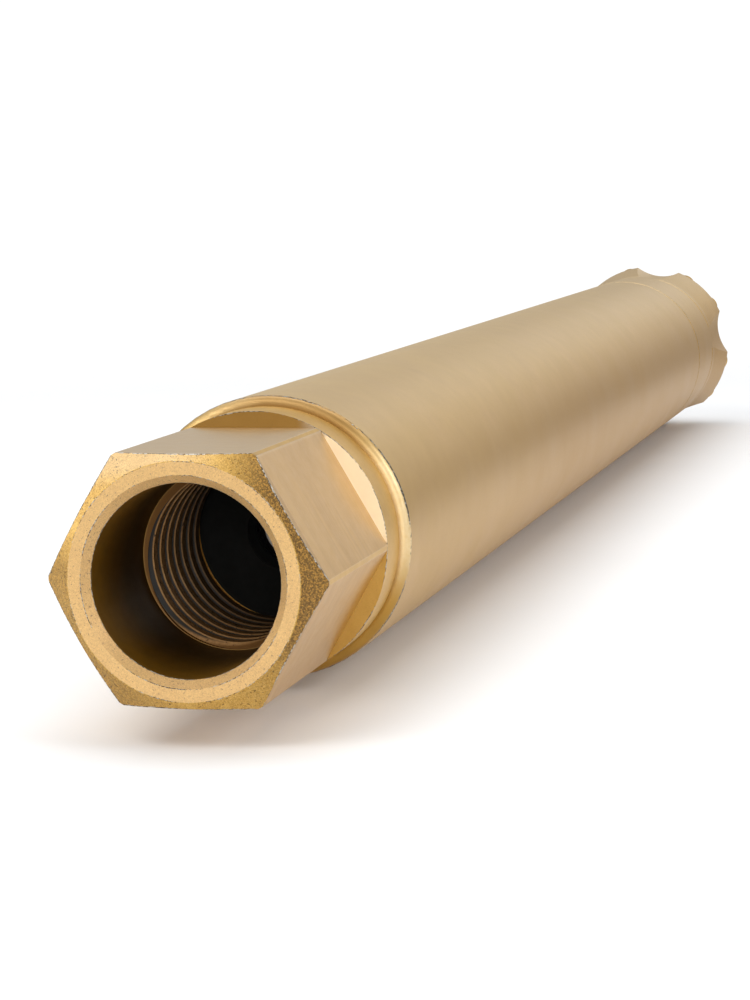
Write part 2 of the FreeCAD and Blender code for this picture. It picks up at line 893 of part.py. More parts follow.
def gauge_outline(face, base_depth, half_width, dome):
    """Half of a button's section beside its own slanted centre line, as corners from the base outwards."""
    along, out = button_seat(face)
    lean = gauge_tilt
    run = lean.cosine()
    rise = lean.sine()

    def place(forward, aside):
        across = along + run * forward - rise * aside
        up = out + rise * forward + run * aside
        return across, up

    corners = [place(-base_depth, as_size(0)), place(-base_depth, half_width)]
    for forward, aside in dome:
        corners.append(place(forward, aside))
    return corners


def dome_points(half_width, top):
    """A ballistic top in short straight steps from the shoulder to the tip."""
    points = []
    steps = 7
    for step in range(steps + 1):
        angle = math.radians(90.0 * step / steps)
        forward = top - half_width + half_width * math.sin(angle)
        aside = half_width * math.cos(angle)
        if step == steps:
            aside = as_size(0)
        points.append((forward, aside))
    return points


def spin(body, name, kind, sketch):
    """Turns a sketch about the first line that was drawn in it."""
    feature = body.newObject("PartDesign::" + kind, body.Name + "_" + name)
    feature.Profile = sketch
    last_line = sketch.GeometryCount
    feature.ReferenceAxis = (sketch, ["Edge%d" % last_line])
    feature.Angle = 360
    doc.recompute()
    return feature


def gauge_holes(body, face):
    half = button_diameter / 2
    depth = button_length - button_stand_out
    clear = as_size(12)
    for number, angle in enumerate(gauge_turns(), start=1):
        sketch = gauge_frame(body, "gauge_hole_outline_%d" % number, angle)
        draw_outline(sketch, gauge_outline(face, depth, half, [(clear, half), (clear, as_size(0))]))
        hole = spin(body, "gauge_hole_first_%d" % number, "Groove", sketch)
        pattern(body, "gauge_holes_%d" % number, hole, flute_count)


def face_button_circle():
    return button_diameter * 1.75


def axial_pockets(body, face):
    half = button_diameter / 2
    depth = button_length - button_stand_out
    floor = face - depth
    turn = flute_turn() + 45
    sketch = new_sketch(body, "face_hole_place", "YZ_Plane", floor, turn)
    draw_circle(sketch, face_button_circle(), 0, half)
    hole = pocket(body, "face_hole_first", sketch, depth + 5, True)
    return pattern(body, "face_hole", hole, 4)


def build_gauge_buttons():
    """Tungsten carbide buttons that cut the hole's full width."""
    body = new_body("gauge_buttons")
    face = body_length + face_gap + head_length
    half = button_diameter / 2 - 0.01
    depth = button_length - button_stand_out
    for number, angle in enumerate(gauge_turns(), start=1):
        sketch = gauge_frame(body, "button_outline_%d" % number, angle)
        draw_outline(sketch, gauge_outline(face, depth - 0.01, half, dome_points(half, button_stand_out)))
        button = spin(body, "button_first_%d" % number, "Revolution", sketch)
        pattern(body, "buttons_%d" % number, button, flute_count)
    return body


def build_face_buttons():
    """Four tungsten carbide buttons in the front face."""
    body = new_body("face_buttons")
    face = body_length + face_gap + head_length
    half = button_diameter / 2 - 0.01
    depth = button_length - button_stand_out
    sketch = body.newObject("Sketcher::SketchObject", "face_button_outline")
    sketch.AttachmentSupport = [(plane_of(body, "XY_Plane"), "")]
    sketch.MapMode = "FlatFace"
    angle = flute_turn() + 45
    sketch.AttachmentOffset = FreeCAD.Placement(Vector(0, 0, 0), FreeCAD.Rotation(Vector(1, 0, 0), angle.value))
    sketch.setExpression("AttachmentOffset.Rotation.Angle", angle.formula)
    doc.recompute()
    circle = face_button_circle()
    corners = [(face - depth + 0.01, circle), (face - depth + 0.01, circle + half)]
    for forward, aside in dome_points(half, button_stand_out):
        corners.append((face + forward, circle + aside))
    draw_outline(sketch, corners)
    button = spin(body, "button_first", "Revolution", sketch)
    pattern(body, "buttons", button, 4)
    return body


build_top_sub()
build_casing()
build_check_valve()
build_check_valve_seal()
build_check_valve_spring()
build_preload_ring()
build_valve_cover()
build_choke_plug()
build_valve_disc()
build_valve_seat()
build_locating_pins()
build_inner_cylinder()
build_piston()
build_stop_ring()
build_guide_bush()
build_retaining_half("retaining_half_left", 1)
build_retaining_half("retaining_half_right", -1)
build_drive_chuck()
build_bit()
build_gauge_buttons()
build_face_buttons()

# Rubber rings
groove_gap = rubber_fit
seal_ring(
    "top_sub_o_ring", seal_groove_start + groove_gap, seal_groove_start + 4.2 - groove_gap,
    stack_radius - 2.6 + groove_gap, bore_radius - groove_gap,
)
seal_ring(
    "valve_seat_o_ring", seat_start + 9 + groove_gap, seat_start + 12.2 - groove_gap,
    stack_radius - 1.8 + groove_gap, bore_radius - groove_gap,
)
seal_ring(
    "cylinder_o_ring", cylinder_end - 12 + groove_gap, cylinder_end - 8.8 - groove_gap,
    stack_radius - 1.8 + groove_gap, bore_radius - groove_gap,
)
seal_ring(
    "guide_bush_o_ring", bush_start + 34 + groove_gap, bush_start + 37.2 - groove_gap,
    stack_radius - 1.8 + groove_gap, bore_radius - groove_gap,
)
retainer_middle = retainer_start + retainer_length / 2
seal_ring(
    "retaining_ring_band", retainer_middle - 2 + groove_gap, retainer_middle + 2 - groove_gap,
    stack_radius - 2.4 + groove_gap, bore_radius - groove_gap,
)
seal_ring(
    "chuck_o_ring", casing_end - 6 + 0.4, casing_end - 1.4,
    thread_radius - 1.8 + groove_gap, thread_radius - groove_gap,
)

doc.recompute()

# Nothing is written until every feature has built and every part is a sound solid.
for item in doc.Objects:
    if "Invalid" in item.State or "Error" in item.State:
        raise RuntimeError(item.Name + " did not build: " + str(item.State))
bodies = [item for item in doc.Objects if item.TypeId == "PartDesign::Body"]
for body in bodies:
    if body.Shape.isNull() or not body.Shape.isValid():
        raise RuntimeError(body.Label + " is not a sound solid")
for body in bodies:
    body.Shape.exportStep("parts/" + body.Label + ".step")
    print(body.Label, round(body.Shape.Volume), len(body.Shape.Solids))
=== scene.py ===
# %% [markdown]
# A rock drilling hammer that works at the bottom of its own hole. The rod screws into the hexagonal
# rear end, and the fluted bit with its carbide buttons is at the other end of a long round barrel.
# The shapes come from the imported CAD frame, which is loaded first and never changed. This lesson
# gives each part its finish, and adds the small things that CAD leaves out.

# %% Load the frame
import bpy
import numpy as np
from mathutils import Matrix, Vector


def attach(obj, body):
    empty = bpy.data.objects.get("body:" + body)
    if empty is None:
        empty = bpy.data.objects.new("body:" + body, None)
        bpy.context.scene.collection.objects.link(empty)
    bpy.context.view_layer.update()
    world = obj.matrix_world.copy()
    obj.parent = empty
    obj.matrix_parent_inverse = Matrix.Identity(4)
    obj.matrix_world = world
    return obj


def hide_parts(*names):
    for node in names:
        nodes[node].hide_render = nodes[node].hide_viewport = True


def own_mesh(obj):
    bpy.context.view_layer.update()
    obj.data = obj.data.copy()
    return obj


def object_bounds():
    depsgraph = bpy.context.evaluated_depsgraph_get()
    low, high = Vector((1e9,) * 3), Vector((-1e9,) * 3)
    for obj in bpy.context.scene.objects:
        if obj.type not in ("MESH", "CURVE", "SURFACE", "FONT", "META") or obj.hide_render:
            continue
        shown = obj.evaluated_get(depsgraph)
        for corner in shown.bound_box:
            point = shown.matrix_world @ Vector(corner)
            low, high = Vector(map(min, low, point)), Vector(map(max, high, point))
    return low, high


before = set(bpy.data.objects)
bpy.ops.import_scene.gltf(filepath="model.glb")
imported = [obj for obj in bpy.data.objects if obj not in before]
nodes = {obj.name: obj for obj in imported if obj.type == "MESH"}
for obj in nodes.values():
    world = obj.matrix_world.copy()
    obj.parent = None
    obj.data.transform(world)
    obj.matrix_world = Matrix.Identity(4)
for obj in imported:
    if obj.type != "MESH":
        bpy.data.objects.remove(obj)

cad_low, cad_high = [list(corner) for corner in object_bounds()]
print("CAD box in metres:", np.round(cad_low, 4), np.round(cad_high, 4))

# %% [markdown]
# A finish changes over a surface by sums on numbers, such as how far a point is from the axis. Blender
# does such sums with Math nodes, which are hard to read when wired by hand. A small class that wraps
# one socket and answers to plus, minus and times lets the sums be written as ordinary expressions.

# %% Numbers that vary over a surface
class Shade:
    """One number that varies over a surface. Sums on it add Math nodes."""

    def __init__(self, tree, socket):
        self.tree = tree
        self.socket = socket

    def math(self, operation, *others, clamp=False):
        node = self.tree.nodes.new("ShaderNodeMath")
        node.operation = operation
        node.use_clamp = clamp
        for slot, value in zip(node.inputs, (self, *others)):
            if isinstance(value, Shade):
                self.tree.links.new(value.socket, slot)
            else:
                slot.default_value = float(value)
        return Shade(self.tree, node.outputs[0])

    def plain(self, value):
        """A plain number as a Shade, for when it comes first in a sum."""
        node = self.tree.nodes.new("ShaderNodeValue")
        node.outputs[0].default_value = float(value)
        return Shade(self.tree, node.outputs[0])

    def __add__(self, other):
        return self.math("ADD", other)

    def __radd__(self, other):
        return self.math("ADD", other)

    def __sub__(self, other):
        return self.math("SUBTRACT", other)

    def __rsub__(self, other):
        return self.plain(other).math("SUBTRACT", self)

    def __mul__(self, other):
        return self.math("MULTIPLY", other)

    def __rmul__(self, other):
        return self.math("MULTIPLY", other)

    def __abs__(self):
        return self.math("ABSOLUTE")

    def larger(self, other):
        return self.math("MAXIMUM", other)

    def clamped(self):
        return self.math("ADD", 0.0, clamp=True)

    def rise(self, low, high):
        """Nought below low, one above high, and a smooth S between them."""
        node = self.tree.nodes.new("ShaderNodeMapRange")
        node.interpolation_type = "SMOOTHSTEP"
        self.tree.links.new(self.socket, node.inputs["Value"])
        node.inputs["From Min"].default_value = low
        node.inputs["From Max"].default_value = high
        return Shade(self.tree, node.outputs["Result"])

    def fall(self, low, high):
        """One below low, nought above high."""
        return 1 - self.rise(low, high)


# %% [markdown]
# Every finish here is a Principled shader with a few patterns in front of it. A class for a finish
# keeps the shared steps in one place: it measures in millimetres on the part itself, so a scratch
# that is half a millimetre wide is written as 0.5, and it stays put when the part moves.

# %% A finish and its patterns
def linear(hex_colour):
    """A screen colour such as C89C5C as the linear numbers that a shader takes."""
    parts = np.array([int(hex_colour[k:k + 2], 16) for k in (0, 2, 4)]) / 255
    low = parts / 12.92
    high = ((parts + 0.055) / 1.055) ** 2.4
    return (*np.where(parts <= 0.04045, low, high).tolist(), 1.0)


class Finish:
    def __init__(self, name, **constants):
        self.material = bpy.data.materials.new(name)
        self.material.use_nodes = True
        self.tree = self.material.node_tree
        self.shader = self.tree.nodes["Principled BSDF"]
        for socket, value in constants.items():
            self.shader.inputs[socket.replace("_", " ")].default_value = value
        where = self.node("ShaderNodeTexCoord")
        self.place = self.node(
            "ShaderNodeVectorMath", {"operation": "SCALE"}, [where.outputs["Object"]], Scale=1000.0
        ).outputs[0]
        split = self.node("ShaderNodeSeparateXYZ", {}, [self.place])
        self.x, self.y, self.z = [Shade(self.tree, out) for out in split.outputs]

    def node(self, kind, settings=None, inputs=(), **named):
        """A node of one kind: its settings first, then the values or links of its sockets."""
        made = self.tree.nodes.new(kind)
        for key, value in (settings or {}).items():
            setattr(made, key, value)
        pairs = [(made.inputs[number], value) for number, value in enumerate(inputs)]
        pairs += [(made.inputs[key.replace("_", " ")], value) for key, value in named.items()]
        for slot, value in pairs:
            if isinstance(value, Shade):
                value = value.socket
            if isinstance(value, bpy.types.NodeSocket):
                self.tree.links.new(value, slot)
            elif value is not None:
                slot.default_value = value
        return made

    def radius(self):
        """Distance from the hammer's axis, in millimetres."""
        return (self.y * self.y + self.z * self.z).math("SQRT")

    def vector(self, x, y, z):
        return self.node("ShaderNodeCombineXYZ", {}, [x, y, z]).outputs[0]

    def noise(self, size, detail=2.0, roughness=0.5, vector=None):
        """Cloudy noise whose lumps are about size millimetres across."""
        made = self.node(
            "ShaderNodeTexNoise", {}, [], Vector=vector or self.place,
            Scale=1.0 / size, Detail=detail, Roughness=roughness,
        )
        return Shade(self.tree, made.outputs["Fac"])

    def grains(self, size):
        """A flat random tone for each grain, about size millimetres across."""
        made = self.node("ShaderNodeTexVoronoi", {}, [], Vector=self.place, Scale=1.0 / size)
        split = self.node("ShaderNodeSeparateColor", {}, [made.outputs["Color"]])
        return Shade(self.tree, split.outputs[0])

    def blend(self, factor, first, second):
        """Mixes two colours, each a socket or four numbers."""
        made = self.node("ShaderNodeMix", {"data_type": "RGBA"})
        for number, value in ((0, factor), (6, first), (7, second)):
            slot = made.inputs[number]
            if isinstance(value, Shade):
                value = value.socket
            if isinstance(value, bpy.types.NodeSocket):
                self.tree.links.new(value, slot)
            else:
                slot.default_value = value
        return made.outputs[2]

    def set(self, socket, value):
        if isinstance(value, Shade):
            value = value.socket
        self.tree.links.new(value, self.shader.inputs[socket])

    def bump(self, height_mm, strength=1.0):
        """Lets light catch a relief whose height is given in millimetres."""
        made = self.node("ShaderNodeBump", {}, [], Strength=strength, Distance=0.001, Height=height_mm)
        self.tree.links.new(made.outputs["Normal"], self.shader.inputs["Normal"])


def give(finish, *names):
    """Puts a finish on CAD nodes, through their material slots."""
    for name in names:
        for slot in nodes[name].material_slots:
            slot.material = finish.material
    print(finish.material.name, "on", ", ".join(names))


# %% [markdown]
# The whole outside is sprayed with one coat of gold paint over machined steel. The paint is coarse:
# aluminium flakes and dry spray give it a grain of about a third of a millimetre, with tiny open pits.
# On sharp edges the coat is thin, and handling has rubbed it through to grey steel. A wear mask takes
# the distance to an edge and breaks it up with noise, so that chips have ragged shapes.

# %% Gold paint shared by every painted part
PAINT_LIGHT = linear("F0CC7C")
PAINT_MID = linear("C79834")
PAINT_DEEP = linear("84580E")
PAINT_PIT = linear("2E1C06")
STEEL_BARE = linear("B4B0A6")
CHIP_DARK = linear("4A381C")
GRIME = linear("2A1C08")
PAINT = dict(Metallic=0.92, Coat_Weight=0.5, Coat_Roughness=0.4)


def paint_base(finish, coarse):
    """The paint's colour and relief: clouds, flakes and pits. coarse is how rough the spray went on."""
    clouds = finish.noise(9.0, 3.0, 0.55)
    flakes = finish.grains(0.26)
    fine = finish.noise(0.3, 2.0, 0.6)
    tone = (clouds - 0.5) * 0.5 + (flakes - 0.5) * coarse * 0.55 + (fine - 0.5) * coarse * 0.9 + 0.5
    colour = finish.blend(tone.clamped(), PAINT_DEEP, PAINT_LIGHT)
    colour = finish.blend(0.45, colour, PAINT_MID)
    pits = finish.noise(0.7, 3.0, 0.75).fall(0.33, 0.40) * coarse
    colour = finish.blend((pits * 0.85).clamped(), colour, PAINT_PIT)
    relief = (flakes * 0.04 + fine * 0.08 - pits * 0.08) * coarse
    return colour, relief, pits


def edge_wear(finish, distance_mm, width, amount=0.5):
    """A ragged mask of chips: one where an edge is nearer than noise allows. amount is 0 to 1."""
    ragged = finish.noise(0.9, 4.0, 0.7)
    stretch = finish.noise(14.0, 2.0, 0.5)
    near = distance_mm.fall(0.0, width)
    return (near * 1.2 + (ragged - 0.5) * 1.6 + (stretch - 0.5) * 1.6 - (1.35 - amount)).rise(0.0, 0.12)


# %% [markdown]
# The top sub carries most of what the eye goes to: a front ring painted bright as a painted highlight,
# six chamfered corners, milled flats, a socket painted darker with depth as painted shade, and the rod
# thread. One finish tells these places apart by sums on the distance along the axis and the distance
# from it, because they are all turned or milled about it.

# %% Top sub
HEX_HALF = 32.5
HEX_END = 65.5
COLLAR_RADIUS = 37.1
FACE_OUTER = 30.7
FACE_INNER = 27.25
SOCKET_RADIUS = 25.1
CREST_RADIUS = 23.2
ROOT_RADIUS = 24.9

top = Finish("gold_paint_top_sub", **PAINT)
x, r = top.x, top.radius()
half_root_three = 0.8660254
across_one = abs(top.z)
across_two = abs(top.z * 0.5 + top.y * half_root_three)
across_three = abs(top.z * 0.5 - top.y * half_root_three)
hexagon = across_one.larger(across_two).larger(across_three)
on_flat = hexagon.rise(HEX_HALF - 0.12, HEX_HALF - 0.06) * x.fall(HEX_END - 0.3, HEX_END)
inside = r.fall(SOCKET_RADIUS + 0.05, SOCKET_RADIUS + 0.4) * x.rise(2.0, 3.0)

front = x.fall(3.4, 4.6) * (1 - inside)
colour, relief, pits = paint_base(top, front * 0.95 + 0.12)

# %% [markdown]
# The ring round the socket is painted a little lighter than the chamfers, a painted highlight. The side
# chamfers are tinted darker with a dark speckle as painted shade, and the top ones paler as a painted
# highlight, which sets the faces apart as one light would. On the real hammer the paint may well be the
# same on all of them.

# %% Front ring and chamfers
ring = r.fall(FACE_OUTER - 0.15, FACE_OUTER) * front
# Painted highlight: the front ring is tinted lighter.
colour = top.blend(ring * 0.4, colour, linear("EDC89C"))
chamfer = r.rise(FACE_OUTER, FACE_OUTER + 0.3) * front
# Painted shade: the side chamfers are tinted darker, with a dark speckle.
painted_side_chamfer_shade = (0 - top.y).rise(8.0, 24.0) * (1 - (0 - top.z).rise(14.0, 24.0) * 0.6)
painted_side_chamfer_shade = painted_side_chamfer_shade.larger(top.y.rise(2.0, 18.0) * top.z.fall(2.0, 12.0) * 0.6) * chamfer
speckle = top.noise(0.5, 3.0, 0.7).rise(0.46, 0.6)
# Painted highlight: the top chamfers are tinted paler.
painted_top_highlight = top.z.rise(22.0, 30.0) * top.y.rise(-14.0, 6.0) * chamfer
colour = top.blend(painted_top_highlight * 0.3, colour, linear("F2DCC0"))
side_chamfer_shade_colour = top.blend(speckle, linear("4E3208"), linear("A87A30"))
colour = top.blend(painted_side_chamfer_shade * 0.85, colour, side_chamfer_shade_colour)

# %% [markdown]
# Each flat ends in a small wall. The one on the upper -Y side is tinted bright as a painted highlight and
# the one on top dull as painted shade, again to follow one light. The flats themselves show the mill's
# fine parallel lines under the paint, and the top flat is painted paler and greyer as a painted sheen.

# %% Walls and flats
wall = x.rise(HEX_END - 0.25, HEX_END - 0.1) * x.fall(HEX_END + 0.1, HEX_END + 0.3) * (1 - inside)
# Painted highlight on the upper -Y wall.
painted_wall_highlight = wall * (0 - top.y).rise(12.0, 18.0) * top.z.rise(-2.0, 4.0)
colour = top.blend(painted_wall_highlight * 0.85, colour, linear("FFF4DC"))
# Painted shade on the top wall.
painted_top_shade = wall * top.z.rise(28.0, 32.0) * (abs(top.y)).fall(19.0, 22.0)
colour = top.blend(painted_top_shade * 0.6, colour, linear("6E4808"))

mill_lines = top.noise(0.5, 2.0, 0.5, top.vector(top.x, top.y * 0.02, top.z * 0.02))
mill_sweep = top.noise(6.0, 2.0, 0.5, top.vector(top.x, top.y * 0.1, top.z * 0.1))
mill_tone = (mill_lines - 0.5) * 1.2 + (mill_sweep - 0.5) * 0.8 + 0.5
flat_colour = top.blend(mill_tone, linear("AE7F38"), linear("CBA056"))
colour = top.blend(on_flat * 0.75, colour, flat_colour)
# Painted sheen: the top flat alone is tinted paler and greyer.
colour = top.blend(on_flat * top.z.rise(31.0, 32.4) * 0.5, colour, linear("DECBA8"))

# %% [markdown]
# The socket is only dusted with paint, and it is painted browner with depth as painted shade. The thread
# behind it is rubbed on its crests, painted black in its roots and painted darker deeper in, both as
# painted shade.

# %% Socket and thread
# Painted shade: the socket darkens with depth.
socket_depth_shade = x.rise(2.0, 34.0)
socket_colour = top.blend(socket_depth_shade, linear("A87818"), linear("5A3E06"))
socket_cloud = top.noise(5.0, 3.0, 0.6)
socket_colour = top.blend((socket_cloud - 0.35).clamped() * 0.5, socket_colour, GRIME)
colour = top.blend(inside * x.fall(43.0, 43.4), colour, socket_colour)

in_thread = inside * x.rise(43.0, 43.4)
# Painted shade: the thread roots are tinted near black.
root = r.rise(CREST_RADIUS + 0.15, CREST_RADIUS + 0.5) * x.rise(44.6, 45.0)
crest_noise = top.noise(0.9, 3.0, 0.65)
crest_colour = top.blend(crest_noise, linear("7A5526"), linear("C29660"))
specks = top.noise(1.3, 3.0, 0.7).fall(0.34, 0.38)
crest_colour = top.blend(specks, crest_colour, linear("1E150A"))
thread_colour = top.blend(root, crest_colour, linear("120C04"))
thread_colour = top.blend(x.fall(44.2, 44.6), thread_colour, linear("6A450C"))
# Painted shade: the thread darkens deeper in.
thread_depth_shade = x.rise(46.0, 90.0)
thread_colour = top.blend(thread_depth_shade * 0.75, thread_colour, linear("181006"))
colour = top.blend(in_thread, colour, thread_colour)

# %% [markdown]
# Chips follow every sharp edge of the top sub, where a distance to the edge is easy to write as a sum
# of two differences: one along the axis and one away from it.

# %% Chipped edges
cone_edge = abs(hexagon - HEX_HALF) + abs(x - (r - FACE_OUTER) * 0.55)
wear = edge_wear(top, cone_edge, 0.55, 0.5)
wear = wear.larger(edge_wear(top, abs(r - FACE_OUTER) + x, 0.45, 0.22))
wear = wear.larger(edge_wear(top, abs(r - FACE_INNER) + x, 0.45, 0.3))
wear = wear.larger(edge_wear(top, abs(r - SOCKET_RADIUS) + abs(x - 2.1), 0.5, 0.4))
wear = wear.larger(edge_wear(top, abs(r - COLLAR_RADIUS) + abs(x - HEX_END), 0.6, 0.35))
wear = wear * (1 - inside * x.rise(3.5, 4.5))
bare = top.blend(top.noise(0.8, 2.0, 0.6).rise(0.42, 0.6), CHIP_DARK, STEEL_BARE)
colour = top.blend(wear, colour, bare)

# Nothing lights the closed end behind the thread, so it is painted near black as painted shade.
behind = inside * x.rise(87.0, 88.5)
colour = top.blend(behind, colour, (0.0012, 0.0014, 0.0010, 1))
roughness = 0.5 + (top.noise(3.0) - 0.5) * 0.16 - on_flat * 0.14 + behind * 0.4 + pits * 0.2 - wear * 0.08
top.set("Base Color", colour)
top.set("Roughness", roughness.clamped())
top.set("Coat Weight", 0.5 - in_thread * 0.5)
top.set("Metallic", (0.85 - in_thread * 0.35 - root * in_thread * 0.3 - behind).clamped())
top.bump(relief * (1 - inside * 0.6) + mill_lines * on_flat * 0.02 - wear * 0.04)
give(top, "top_sub")

# %% [markdown]
# The barrel is a ground tube with a smoother coat than the rest. What shows is a soft mottling, faint
# turning marks round it, and a lip at its rear end that is painted bright at the side as a painted
# highlight, with chips where the coat has flaked.

# %% Barrel, chuck and bit paint
def barrel_finish(name, front_edge, rear_edge, coarse, radius, painted_lip_highlight=0.0):
    made = Finish(name, **PAINT)
    along, out = made.x, made.radius()
    tint, height, holes = paint_base(made, coarse)
    mottle = made.noise(28.0, 3.0, 0.5)
    tint = made.blend((mottle - 0.2).clamped() * 1.2, tint, linear("BC9A4E"))
    # A deeper tint on the lower side is painted shade and a paler one on top is a painted highlight. They
    # follow how the barrel looks in one light. It isn't known that the paint itself differs there.
    under = 0 - (made.y * 0.8 + made.z * 0.6)
    painted_underside_shade = under.rise(2.0, 30.0) * (along.rise(80.0, 420.0) * 0.45 + 0.5)
    # Painted shade on the lower side.
    tint = made.blend(painted_underside_shade, tint, linear("A87A0C"))
    painted_top_highlight = made.z.rise(22.0, 40.0)
    # Painted highlight on top.
    tint = made.blend(painted_top_highlight * 0.4, tint, linear("DCC49C"))
    # The rear edge is tinted lighter at the side as a painted highlight, and duller on top and a little
    # below as painted shade, in the same way.
    lip_highlight_colour = made.blend(made.noise(2.0, 2.0, 0.6), linear("E8C88C"), linear("FFF0CC"))
    # Painted highlight: the rear edge is tinted lighter on the -Y side.
    at_lip = along.fall(front_edge + 1.9, front_edge + 2.4) * painted_lip_highlight
    side = (0 - made.y).rise(5.0, 20.0) * made.z.rise(-20.0, 0.0) * made.z.fall(16.0, 34.0)
    tint = made.blend(at_lip * side, tint, lip_highlight_colour)
    # Painted shade: the rear edge is tinted duller on top and a little below.
    painted_top_shade = (0 - made.y).rise(-20.0, 0.0) * made.z.rise(20.0, 34.0)
    low = (0 - made.z).rise(0.0, 16.0)
    tint = made.blend(at_lip * painted_top_shade.larger(low * 0.4), tint, linear("8E6420"))
    rings = made.noise(1.1, 2.0, 0.6, made.vector(made.x, made.y * 0.01, made.z * 0.01))
    chips = edge_wear(made, abs(along - front_edge - 1.8) + (radius - out) * 0.3, 1.3, 0.34)
    chips = chips.larger(edge_wear(made, abs(along - rear_edge) + (radius - out) * 0.3, 0.9, 0.3))
    bare = made.blend(made.noise(0.8, 2.0, 0.6).rise(0.5, 0.65), CHIP_DARK, STEEL_BARE)
    tint = made.blend(chips, tint, bare)
    made.set("Base Color", tint)
    made.set("Roughness", (0.48 + (mottle - 0.5) * 0.14 + (rings - 0.5) * 0.02 + holes * 0.2).clamped())
    made.bump(height + rings * 0.0006 - chips * 0.03)
    return made


give(barrel_finish("gold_paint_barrel", 80.1, 740.1, 0.14, 40.0, 0.7), "casing")
give(barrel_finish("gold_paint_chuck", 740.1, 797.0, 0.16, 40.0), "drive_chuck")
give(barrel_finish("gold_paint_bit", 797.3, 838.0, 0.3, 43.6), "bit_body")

# %% [markdown]
# Parts inside are plain metals. Ground steel has fine marks round the axis from the grinding wheel, and
# a thin film of oil, which is the shader's coat. Spring steel is blued and brass is turned.

# %% Metals inside
def turned_metal(name, dark, light, rough, coat):
    made = Finish(name, Coat_Weight=coat, Coat_Roughness=0.15, Metallic=1.0)
    rings = made.noise(0.35, 2.0, 0.6, made.vector(made.x, made.y * 0.03, made.z * 0.03))
    stain = made.noise(12.0, 3.0, 0.6)
    made.set("Base Color", made.blend((rings * 0.6 + stain * 0.4).clamped(), linear(dark), linear(light)))
    made.set("Roughness", (rough + (stain - 0.5) * 0.15 + (rings - 0.5) * 0.12).clamped())
    made.bump(rings * 0.006)
    return made


ground = turned_metal("ground_steel", "8E8F90", "C4C5C6", 0.28, 0.3)
give(
    ground, "piston", "inner_cylinder", "valve_cover", "valve_seat", "valve_disc", "check_valve",
    "locating_pins", "guide_bush", "retaining_half_left", "retaining_half_right",
)
spring_steel = turned_metal("blued_spring_steel", "2E3238", "555B66", 0.35, 0.2)
give(spring_steel, "check_valve_spring", "preload_ring", "guide_stop_ring")
give(turned_metal("turned_brass", "9C7A34", "D4B064", 0.3, 0.0), "choke_plug")

# %% [markdown]
# Tungsten carbide buttons are ground, almost black grey and very hard, with a fine even sparkle. The
# spray went over them too, and it has already rubbed off their tips. Rubber rings are matt black
# with a faint bloom.

# %% Carbide and rubber
carbide = Finish("tungsten_carbide", Metallic=0.9)
sparkle = carbide.noise(0.25, 2.0, 0.6)
smear = carbide.noise(4.0, 3.0, 0.6)
ground_colour = carbide.blend((sparkle * 0.5 + smear * 0.5).clamped(), linear("4A4A4C"), linear("86868A"))
gauge_tip = (carbide.x * 0.819 + carbide.radius() * 0.574 + (smear - 0.5) * 1.5).rise(714.9, 715.3)
face_tip = (carbide.x + (smear - 0.5) * 1.5).rise(851.6, 852.0)
button_paint, button_relief, holes = paint_base(carbide, 0.3)
tip = gauge_tip.larger(face_tip)
carbide.set("Base Color", carbide.blend(tip, button_paint, ground_colour))
carbide.set("Roughness", (0.42 - tip * 0.12 + (smear - 0.5) * 0.2).clamped())
carbide.bump(sparkle * 0.006 + button_relief * (1 - tip))
give(carbide, "gauge_buttons", "face_buttons")

rubber = Finish("nitrile_rubber")
bloom = rubber.noise(3.0, 3.0, 0.6)
grain = rubber.noise(0.3, 1.0, 0.5)
rubber.set("Base Color", rubber.blend(bloom, linear("121212"), linear("2A2A2B")))
rubber.set("Roughness", (0.6 + (bloom - 0.5) * 0.3).clamped())
rubber.bump(grain * 0.02)
give(
    rubber, "top_sub_o_ring", "valve_seat_o_ring", "cylinder_o_ring", "guide_bush_o_ring",
    "retaining_ring_band", "chuck_o_ring", "check_valve_seal",
)

# %% [markdown]
# A new hammer goes out with grease in its rod thread, and it settles in the thread's roots, where it
# looks black. It could be a darker colour in the root, but real grease stands up in an uneven bead that
# catches light along its top. So it is a bead carried along the thread's own helix: two parameters,
# one along the helix and one round the bead.

# %% Grease in the rod thread
THREAD_START = 0.0402
THREAD_PITCH = 0.00618
GREASE_TURNS = (0.75, 7.7)


def mesh_from_grid(name, points, wrap_columns=False, capped=False):
    """A mesh from a grid of points, rows by columns, each four neighbours joined by one face.
    capped closes the first and last row with one flat face each."""
    rows, columns = points.shape[:2]
    row_index = np.arange(rows - 1)
    column_index = np.arange(columns if wrap_columns else columns - 1)
    a, b = np.meshgrid(row_index, column_index, indexing="ij")
    next_a, next_b = a + 1, (b + 1) % columns
    faces = np.stack(
        [a * columns + b, next_a * columns + b, next_a * columns + next_b, a * columns + next_b], axis=-1
    ).reshape(-1, 4)
    faces = faces.tolist()
    if capped:
        first_row = list(range(columns))
        last_row = [(rows - 1) * columns + number for number in range(columns)]
        faces += [first_row[::-1], last_row]
    mesh = bpy.data.meshes.new(name)
    mesh.from_pydata(points.reshape(-1, 3).tolist(), [], faces)
    mesh.polygons.foreach_set("use_smooth", np.ones(len(faces), dtype=bool))
    mesh.update()
    piece = bpy.data.objects.new(name, mesh)
    bpy.context.scene.collection.objects.link(piece)
    return piece


